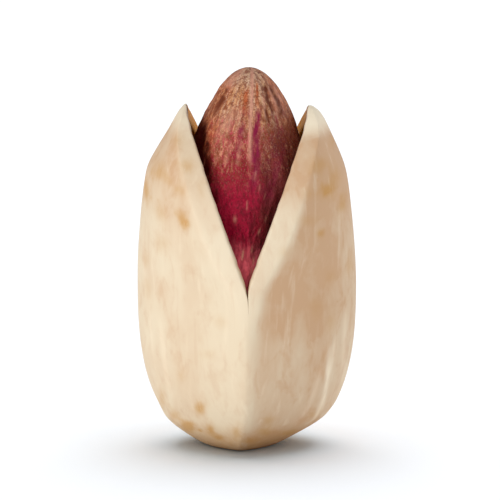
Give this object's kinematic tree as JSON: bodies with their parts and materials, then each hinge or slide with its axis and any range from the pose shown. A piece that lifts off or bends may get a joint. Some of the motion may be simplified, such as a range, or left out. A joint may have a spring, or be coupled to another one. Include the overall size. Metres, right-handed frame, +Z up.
{
  "type": "pistachio in shell",
  "caption": "Pistachio nut standing on its stem end: a hard cream shell split from the tip down, with the crimson and tan kernel rising out of it",
  "frame": {"origin": "middle of the small flat spot under the stem end, at the bottom centre of the bounding box", "axes": "+Z up along the nut from the stem end to the tips, -Y the front with the wider split, +X towards the right valve"},
  "size_m": [0.0126, 0.0122, 0.0222],
  "materials": {
    "shell": "dry satin, hard woody shell",
    "kernel_skin": "thin papery seed skin, matt"
  },
  "bodies": {
    "root": {"shell": "shell", "kernel": "kernel_skin"}
  },
  "joints": []
}
